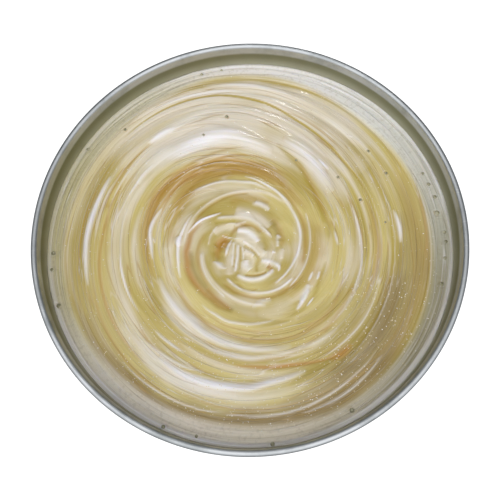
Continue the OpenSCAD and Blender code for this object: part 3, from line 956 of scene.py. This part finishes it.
# bubbles set in the wax: (turn in degrees, radius in mm, size in mm)
bubbles = [
    (1, 40.2, 0.34), (7.5, 39.5, 0.42), (12.5, 40.0, 0.38), (17, 39.8, 0.34), (21, 39.7, 0.3),
    (345, 39.8, 0.4), (353, 40.0, 0.34), (358, 40.3, 0.3), (185, 40.5, 0.4), (190, 40.9, 0.32),
    (201, 40.8, 0.44), (99, 41.0, 0.28), (105.5, 40.9, 0.34), (150, 40.8, 0.36), (247, 41.0, 0.36),
    (256, 40.5, 0.3), (299, 39.5, 0.42), (276, 41.0, 0.4), (39, 33.0, 0.26), (28, 33.0, 0.28),
    (24, 25.3, 0.3), (40, 24.3, 0.28), (100, 30.3, 0.34), (64, 22.3, 0.24), (112, 27.6, 0.24),
    (137, 37.8, 0.3), (10, 28.5, 0.22)]
bubbleLook = {  # shares of a bubble's size, and mm
    "dome": 0.30, "domeWidth": 1.5, "moat": 0.45, "moatAt": 1.35, "moatWidth": 0.5, "swell": 1.05,
    "lift": -0.05, "flatness": 0.55, "seed": 3}


def waxSurface(x, y):
    # the flow, the tints and the height in mm at many points
    flow = Flow(x, y)
    tints = {name: np.zeros_like(x) for name in tintNames + ("rise",)}

    def layDown(tint, strength, rise, cover, edge):
        solid = np.clip(strength * cover, 0, 1)
        tints[tint] = 1 - (1 - tints[tint]) * (1 - solid)
        for other in tintNames:  # what is laid on later covers what is there
            if other != tint:
                tints[other] *= 1 - laying["hides"] * solid
        tints["rise"] += rise * cover * (1 + laying["edge"] * np.clip(edge, -1, 1))

    for tint, strength, halfWidth, rise, *points in strokes:
        layDown(tint, strength, rise, *strokeCover(flow, points, halfWidth))
    for tint, strength, halfWidth, rise, *points in folds:
        cover, edge = foldCover(x, y, points, halfWidth)
        layDown(tint, strength, rise * laying["foldRise"], cover * laying["foldCover"], edge)
    # a painted highlight along the meniscus, stronger on the near side where the wall shades it
    near = smoothStep(-np.sin(np.radians(flow.turn)), -0.1, 0.6)
    rim = np.exp(-((flow.fromWall - laying["meniscusHighlightAt"]) / laying["meniscusHighlightWidth"]) ** 2)
    rim = rim * (laying["meniscusHighlightFar"] + laying["meniscusHighlightNear"] * near)
    tints["pearl"] = np.maximum(tints["pearl"], rim)
    z = wax["level"] + waxHeight(flow, tints)
    for turn, radius, size in bubbles:
        bx, by = waxPoint(turn, radius)
        away = np.hypot(x - bx, y - by) / size
        z += size * bubbleLook["dome"] * np.exp(-(away / bubbleLook["domeWidth"]) ** 2)
        moat = (away - bubbleLook["moatAt"]) / bubbleLook["moatWidth"]
        z -= size * bubbleLook["moat"] * np.exp(-moat ** 2)
    return flow, tints, z


def waxTop():
    # a square grid pressed into a disc, with finer cells in the middle
    side = np.linspace(-1, 1, wax["cells"] + 1)
    side = side * (0.86 + 0.14 * side ** 2)
    u, v = [a.ravel() for a in np.meshgrid(side, side)]
    return wax["radius"] * u * np.sqrt(1 - v * v / 2), wax["radius"] * v * np.sqrt(1 - u * u / 2)


def hollowOf(z):
    # how far each point of the grid lies below its neighbours
    row = wax["cells"] + 1
    grid = np.pad(z.reshape(row, row), 1, "edge")
    around = grid[:-2, 1:-1] + grid[2:, 1:-1] + grid[1:-1, :-2] + grid[1:-1, 2:]
    return (around - 4 * grid[1:-1, 1:-1]).ravel()


def closeWax(points):
    # quads over the top, then rings down the wall and in under the fill
    cells = wax["cells"]
    row = cells + 1
    i, j = [a.ravel() for a in np.meshgrid(np.arange(cells), np.arange(cells))]
    first = j * row + i
    faces = np.column_stack([first, first + 1, first + row + 1, first + row]).tolist()
    step = np.arange(cells)
    rim = np.concatenate([step, step * row + cells, cells * row + cells - step, (cells - step) * row])
    rings, count, edge = [rim], len(rim), points[rim, :2]
    levels = [(share, wax["bottom"] + height) for share, height in wax["underside"]]
    for share, level in [(1.0, wax["level"] - wax["collar"])] + levels:
        rings.append(np.arange(len(points), len(points) + count))
        points = np.vstack([points, np.column_stack([edge * share, np.full(count, level * mm)])])
    middle = len(points)
    points = np.vstack([points, [[0, 0, points[-1, 2]]]])
    for upper, lower in zip(rings, rings[1:]):
        faces += np.column_stack([np.roll(upper, -1), upper, lower, np.roll(lower, -1)]).tolist()
    last = rings[-1]
    faces += np.column_stack([np.roll(last, -1), last, np.full(count, middle)]).tolist()
    return points, faces


def keepMasks(obj, flow, tints, hollowShading):
    # the tints and the streak coordinates, for the material
    extra = len(obj.data.vertices) - len(flow.turn)
    widths = np.interp(flow.turn, *zip(*marginWidths))
    margin = smoothStep(widths + 0.9 * flow.noise(0.3, 8.0, 9) - flow.fromWall, -0.8, 1.1)
    # how far a point lies in a crease, for painted shade in creases and painted highlight on ridges
    creaseShading = np.clip(hollowShading / 0.16, -1, 1) * smoothStep(flow.fromWall, 1.0, 3.0)
    masks = {name: tints[name] for name in tintNames}
    masks.update({
        "margin": margin, "labelA": flow.labelA, "labelB": flow.labelB, "sweptA": flow.sweptA / 360,
        "sweptB": flow.sweptB / 360, "shareA": flow.shareA, "reach": flow.radius, "hollowShading": creaseShading})
    for name, values in masks.items():
        layer = obj.data.attributes.new(name, "FLOAT", "POINT")
        layer.data.foreach_set("value", np.concatenate([values, np.zeros(extra)]).astype(np.float32))
    # the margin tone round the tin, painted highlight and shade included
    turns = [turn for turn, _ in marginTonesLitAndShaded]
    tones = np.array([rgb(*tone) for _, tone in marginTonesLitAndShaded])
    around = np.column_stack([np.interp(flow.turn, turns, tones[:, k]) for k in range(4)])
    layer = obj.data.attributes.new("marginToneLitAndShaded", "FLOAT_COLOR", "POINT")
    layer.data.foreach_set("color", np.vstack([around, np.ones((extra, 4))]).astype(np.float32).ravel())


def makeWaxMesh():
    x, y = waxTop()
    flow, tints, z = waxSurface(x, y)
    points, faces = closeWax(np.column_stack([x, y, z]) * mm)
    obj = meshObject("polishWax", points.tolist(), faces)
    facesOutward(obj)
    keepMasks(obj, flow, tints, hollowOf(z))
    return obj


def attribute(tree, name):
    return addNode(tree, "ShaderNodeAttribute", attribute_name=name).outputs["Fac"]


def makeWaxStreaks():
    # noise drawn out along the stirring; two label fields share the work so that no seam shows
    tree, given, done = newGroup(
        "waxStreaks", "ShaderNodeTree",
        [("Per mm", "NodeSocketFloat", 3.0), ("Per turn", "NodeSocketFloat", 12.0),
         ("Layer", "NodeSocketFloat", 0.0), ("Detail", "NodeSocketFloat", 2.0)],
        [("Streaks", "NodeSocketFloat")])
    found = []
    for field, offset in (("A", 0.0), ("B", 51.0)):
        across = times(tree, attribute(tree, "label" + field), given.outputs["Per mm"])
        along = times(tree, attribute(tree, "swept" + field), given.outputs["Per turn"])
        layer = mathNode(tree, "ADD", given.outputs["Layer"], offset)
        spot = combined(tree, across, along, layer)
        found.append(noiseAt(tree, spot, 1.0, given.outputs["Detail"]))
    share = attribute(tree, "shareA")
    mixed = addNode(tree, "ShaderNodeMix", {0: share, 2: found[1], 3: found[0]}, data_type="FLOAT")
    tree.links.new(mixed.outputs[0], done.inputs["Streaks"])
    return tree


waxColors = {
    "honey": rgb(216, 197, 122), "khaki": rgb(192, 170, 88), "cream": rgb(238, 226, 207),
    "umber": rgb(146, 122, 60), "amber": rgb(187, 148, 68), "rust": rgb(190, 136, 52),
    "olive": rgb(190, 168, 70), "pearl": rgb(254, 249, 252), "milk": rgb(236, 229, 220),
    "clay": rgb(150, 136, 108)}
waxLook = {"roughness": 0.18, "swing": 0.20, "bump": 0.7, "bumpDepth": 0.00015, "subsurface": 0.15,
           "subsurfaceDepth": 0.0008, "subsurfaceSpread": (1.0, 0.7, 0.35), "coat": 0.6,
           "coatRoughness": 0.08, "ior": 1.45}


def waxFinish():
    material, tree, shader = newMaterial("polishWax")
    group = makeWaxStreaks()

    def streaks(perMm, perTurn, layer, detail=1.0):
        return useGroup(tree, group, {"Per mm": perMm, "Per turn": perTurn, "Layer": layer,
                                      "Detail": detail}).outputs[0]

    def filaments(perMm, perTurn, layer, width):
        # thin lines along the stirring, where the noise crosses its middle
        away = mathNode(tree, "ABSOLUTE", mathNode(tree, "SUBTRACT", streaks(perMm, perTurn, layer), 0.5))
        patch = ramp(tree, streaks(0.25, 6.0, layer + 5.0), 0.42, 0.62)
        patch = times(tree, patch, ramp(tree, attribute(tree, "reach"), 13.0, 20.0))
        return times(tree, ramp(tree, away, width, 0.0), patch)

    broad, middle, fine = streaks(0.16, 4.0, 0.0), streaks(0.5, 6.0, 3.0), streaks(2.2, 11.0, 7.0)
    white = mathNode(tree, "MAXIMUM", filaments(0.75, 5.0, 21.0, 0.020), filaments(0.38, 4.0, 61.0, 0.012))
    brown = mathNode(tree, "MAXIMUM", filaments(0.65, 5.0, 33.0, 0.026), filaments(0.32, 4.0, 77.0, 0.016))
    tone = mixColor(tree, ramp(tree, broad, 0.38, 0.60), waxColors["khaki"], waxColors["honey"])
    tone = layOn(tree, tone, ramp(tree, middle, 0.46, 0.70), 0.6, waxColors["cream"])
    for name in ("umber", "khaki", "cream", "olive", "amber", "rust"):
        cover = times(tree, attribute(tree, name), mathNode(tree, "MULTIPLY_ADD", middle, 0.8, 0.65))
        tone = mixColor(tree, mathNode(tree, "MINIMUM", cover, 1.0), tone, waxColors[name])
    tone = layOn(tree, tone, brown, 0.55, waxColors["amber"])
    # the margin's tone with its painted highlight and shade
    around = addNode(tree, "ShaderNodeAttribute", attribute_name="marginToneLitAndShaded").outputs["Color"]
    grain = noiseAt(tree, objectSpot(tree), 1500.0, 2.0)
    around = layOn(tree, around, ramp(tree, fine, 0.45, 0.70), 0.35, waxColors["milk"])
    around = layOn(tree, around, ramp(tree, grain, 0.50, 0.28), 0.22, waxColors["clay"])
    around = layOn(tree, around, brown, 0.35, waxColors["clay"])
    tone = layOn(tree, tone, attribute(tree, "margin"), 0.92, around)
    # pearly streaks, partly painted highlight, laid over the tone
    cover = times(tree, attribute(tree, "pearl"), mathNode(tree, "MULTIPLY_ADD", middle, 0.7, 0.75))
    veined = ramp(tree, streaks(0.9, 7.0, 44.0), 0.40, 0.62)
    pearlHighlightTone = mixColor(tree, veined, waxColors["milk"], waxColors["pearl"])
    tone = mixColor(tree, mathNode(tree, "MINIMUM", cover, 1.0), tone, pearlHighlightTone)
    shown = mathNode(tree, "MULTIPLY_ADD", attribute(tree, "umber"), -0.32, 0.40)
    tone = layOn(tree, tone, white, shown, waxColors["pearl"])
    tone = layOn(tree, tone, ramp(tree, fine, 0.58, 0.78), 0.07, waxColors["pearl"])
    tone = layOn(tree, tone, ramp(tree, fine, 0.42, 0.24), 0.08, waxColors["umber"])
    hollowShading = attribute(tree, "hollowShading")  # painted shade in the creases, painted highlight on the ridges
    tone = layOn(tree, tone, ramp(tree, hollowShading, 0.10, 1.0), 0.45, waxColors["amber"])
    tone = layOn(tree, tone, ramp(tree, hollowShading, -0.10, -1.0), 0.30, waxColors["pearl"])
    calmer = times(tree, ramp(tree, attribute(tree, "reach"), 2.0, 7.0), 0.35)
    ridges = mathNode(tree, "MULTIPLY_ADD", white, 0.8, times(tree, fine, calmer))
    ridges = mathNode(tree, "MULTIPLY_ADD", brown, -0.7, ridges)
    setInputs(tree, shader, {
        "Base Color": tone, "Roughness": mathNode(tree, "MULTIPLY_ADD", fine, waxLook["swing"],
                                                  waxLook["roughness"]),
        "Normal": bumpOf(tree, ridges, waxLook["bump"], waxLook["bumpDepth"]),
        "Subsurface Weight": waxLook["subsurface"], "Subsurface Radius": waxLook["subsurfaceSpread"],
        "Subsurface Scale": waxLook["subsurfaceDepth"], "Coat Weight": waxLook["coat"],
        "Coat Roughness": waxLook["coatRoughness"], "IOR": waxLook["ior"]})
    return material


polish = makeWaxMesh()
takePlace(polish, waxFinish(), "tin", ["polish"])
print("wax made")


# bubbles and mica flakes: many copies of one small shape
def makeScatterTree():
    tree, given, done = newGroup(
        "scatter", "GeometryNodeTree",
        [("Spots", "NodeSocketGeometry", None), ("Sides", "NodeSocketInt", 6),
         ("Layers", "NodeSocketInt", 2), ("Flatness", "NodeSocketFloat", 0.2),
         ("Tilt", "NodeSocketFloat", 0.0), ("Seed", "NodeSocketInt", 1),
         ("Finish", "NodeSocketMaterial", None)],
        [("Copies", "NodeSocketGeometry")])
    grain = addNode(tree, "GeometryNodeMeshUVSphere", {"Segments": given.outputs["Sides"],
                                                      "Rings": given.outputs["Layers"], "Radius": 1.0})
    flat = combined(tree, 1.0, 1.0, given.outputs["Flatness"])
    shaped = addNode(tree, "GeometryNodeTransform", {"Geometry": grain.outputs["Mesh"], "Scale": flat})
    most = given.outputs["Tilt"]
    least = times(tree, most, -1.0)
    low, high = combined(tree, least, least, 0.0), combined(tree, most, most, 6.28)
    tip = addNode(tree, "FunctionNodeRandomValue", {0: low, 1: high, "Seed": given.outputs["Seed"]},
                  data_type="FLOAT_VECTOR")
    size = addNode(tree, "GeometryNodeInputNamedAttribute", {"Name": "size"}, data_type="FLOAT")
    placed = addNode(tree, "GeometryNodeInstanceOnPoints", {
        "Points": given.outputs["Spots"], "Instance": shaped.outputs[0], "Rotation": tip.outputs[0],
        "Scale": size.outputs[0]})
    real = addNode(tree, "GeometryNodeRealizeInstances", {"Geometry": placed.outputs[0]})
    finished = addNode(tree, "GeometryNodeSetMaterial", {"Geometry": real.outputs[0],
                                                        "Material": given.outputs["Finish"]})
    tree.links.new(finished.outputs[0], done.inputs["Copies"])
    return tree


def scatter(name, x, y, sizes, lift, material, values):
    z = waxSurface(x, y)[2] + lift
    source = meshObject(name + "Spots", (np.column_stack([x, y, z]) * mm).tolist())
    layer = source.data.attributes.new("size", "FLOAT", "POINT")
    layer.data.foreach_set("value", (np.asarray(sizes) * mm).astype(np.float32))
    obj = runTree(source, scatterTree, {**values, "Finish": material}, name)
    takePlace(obj, material, "tin", [])
    return obj


def bubbleFinish():
    material, tree, shader = newMaterial("bubbleWax")
    cloud = noiseAt(tree, objectSpot(tree), 1400.0, 2.0)
    tone = mixColor(tree, ramp(tree, cloud, 0.35, 0.65), rgb(136, 132, 102), rgb(188, 182, 154))
    setInputs(tree, shader, {"Base Color": tone,
                             "Roughness": mathNode(tree, "MULTIPLY_ADD", cloud, 0.1, 0.08)})
    return material


def flakeFinish():
    material, tree, shader = newMaterial("micaFlake")
    cloud = noiseAt(tree, objectSpot(tree), 2600.0, 1.0)
    tone = mixColor(tree, ramp(tree, cloud, 0.35, 0.65), rgb(255, 238, 196), rgb(255, 252, 246))
    setInputs(tree, shader, {"Base Color": tone, "Metallic": 0.2,
                             "Roughness": mathNode(tree, "MULTIPLY_ADD", cloud, 0.15, 0.12)})
    return material


def makeBubbles():
    spots = np.array([waxPoint(turn, radius) for turn, radius, _ in bubbles])
    sizes = [bubbleLook["swell"] * size for _, _, size in bubbles]
    scatter("waxBubbles", spots[:, 0], spots[:, 1], sizes, bubbleLook["lift"], bubbleFinish(),
            {"Sides": 16, "Layers": 8, "Flatness": bubbleLook["flatness"], "Tilt": 0.0,
             "Seed": bubbleLook["seed"]})


flakes = {  # degrees and mm; many have settled low down and to the right
    "seed": 7, "near": 700, "wide": 1000, "nearFrom": (215, 22), "nearSpan": (130, 17), "inner": 6,
    "reach": 34, "smallest": 0.05, "largest": 0.13, "lift": 0.02, "flatness": 0.12, "tilt": 0.5,
    "tiltSeed": 11}


def makeFlakes():
    chance = np.random.default_rng(flakes["seed"])
    near = chance.uniform(size=(flakes["near"], 2)) * flakes["nearSpan"] + flakes["nearFrom"]
    wide = chance.uniform(size=(flakes["wide"], 2)) * (360, 1)
    wide[:, 1] = flakes["inner"] + flakes["reach"] * np.sqrt(wide[:, 1])
    turn, radius = np.vstack([near, wide]).T
    x, y = waxPoint(turn, radius)
    sizes = chance.uniform(flakes["smallest"], flakes["largest"], len(x))
    scatter("micaFlakes", x, y, sizes, flakes["lift"], flakeFinish(),
            {"Sides": 6, "Layers": 2, "Flatness": flakes["flatness"], "Tilt": flakes["tilt"],
             "Seed": flakes["tiltSeed"]})


scatterTree = makeScatterTree()
makeBubbles()
makeFlakes()
print("bubbles and flakes made")


# floor and light
light = {  # metres, watts, and colours of the light
    "sky": 0.94, "skyFrom": 0.22, "skyTo": 0.80, "skyDark": (0.12, 0.13, 0.13, 1.0),
    "skyPale": (0.97, 0.99, 1.0, 1.0),
    "ceiling": {"place": (-0.06, -0.22, 0.60), "size": (1.20, 0.80), "power": 1.62,
                "tint": (1.0, 0.99, 0.98)},
    "lamp": {"place": (0.07, 0.46, 0.52), "size": (0.07, 0.05), "power": 0.16, "tint": (1.0, 1.0, 1.0)}}


def makeFloor():
    floor = meshObject("floor", [(-3, -3, 0), (3, -3, 0), (3, 3, 0), (-3, 3, 0)], [(0, 1, 2, 3)])
    material, tree, shader = newMaterial("paper")
    grain = noiseAt(tree, objectSpot(tree), 400.0, 2.0)
    seen = addNode(tree, "ShaderNodeLightPath").outputs["Is Camera Ray"]  # white to the camera alone
    setInputs(tree, shader, {
        "Base Color": mixColor(tree, grain, rgb(138, 140, 142), rgb(150, 150, 150)), "Roughness": 0.9,
        "Emission Color": (1.0, 1.0, 1.0, 1.0), "Emission Strength": seen})
    floor.data.materials.append(material)


def makeLamp(name, place, size, power, tint):
    data = bpy.data.lights.new(name, "AREA")
    data.shape = "RECTANGLE"
    data.size, data.size_y = size
    data.energy = power
    data.color = tint
    lamp = bpy.data.objects.new(name, data)
    lamp.location = place
    lamp.rotation_mode = "QUATERNION"
    lamp.rotation_quaternion = (Vector((0, 0, 0.015)) - Vector(place)).to_track_quat("-Z", "Y")
    scene.collection.objects.link(lamp)


def makeSky():
    world = bpy.data.worlds.new("studio")
    scene.world = world
    world.use_nodes = True
    tree = world.node_tree
    back = tree.nodes["Background"]
    spot = addNode(tree, "ShaderNodeTexCoord").outputs["Generated"]
    _, depth, height = separated(tree, spot)
    front = mathNode(tree, "SUBTRACT", height, depth)  # lighter towards the front
    tone = mixColor(tree, ramp(tree, front, light["skyFrom"], light["skyTo"]), light["skyDark"],
                    light["skyPale"])
    seen = addNode(tree, "ShaderNodeLightPath").outputs["Is Camera Ray"]  # plain white behind the tin
    tree.links.new(mixColor(tree, seen, tone, (1.0, 1.0, 1.0, 1.0)), back.inputs[0])
    tree.links.new(mathNode(tree, "MULTIPLY_ADD", seen, 1.0 - light["sky"], light["sky"]), back.inputs[1])


makeFloor()
makeLamp("ceilingLamp", **light["ceiling"])
makeLamp("smallLamp", **light["lamp"])
makeSky()
scene.view_settings.view_transform = "Standard"
print("floor and light made")
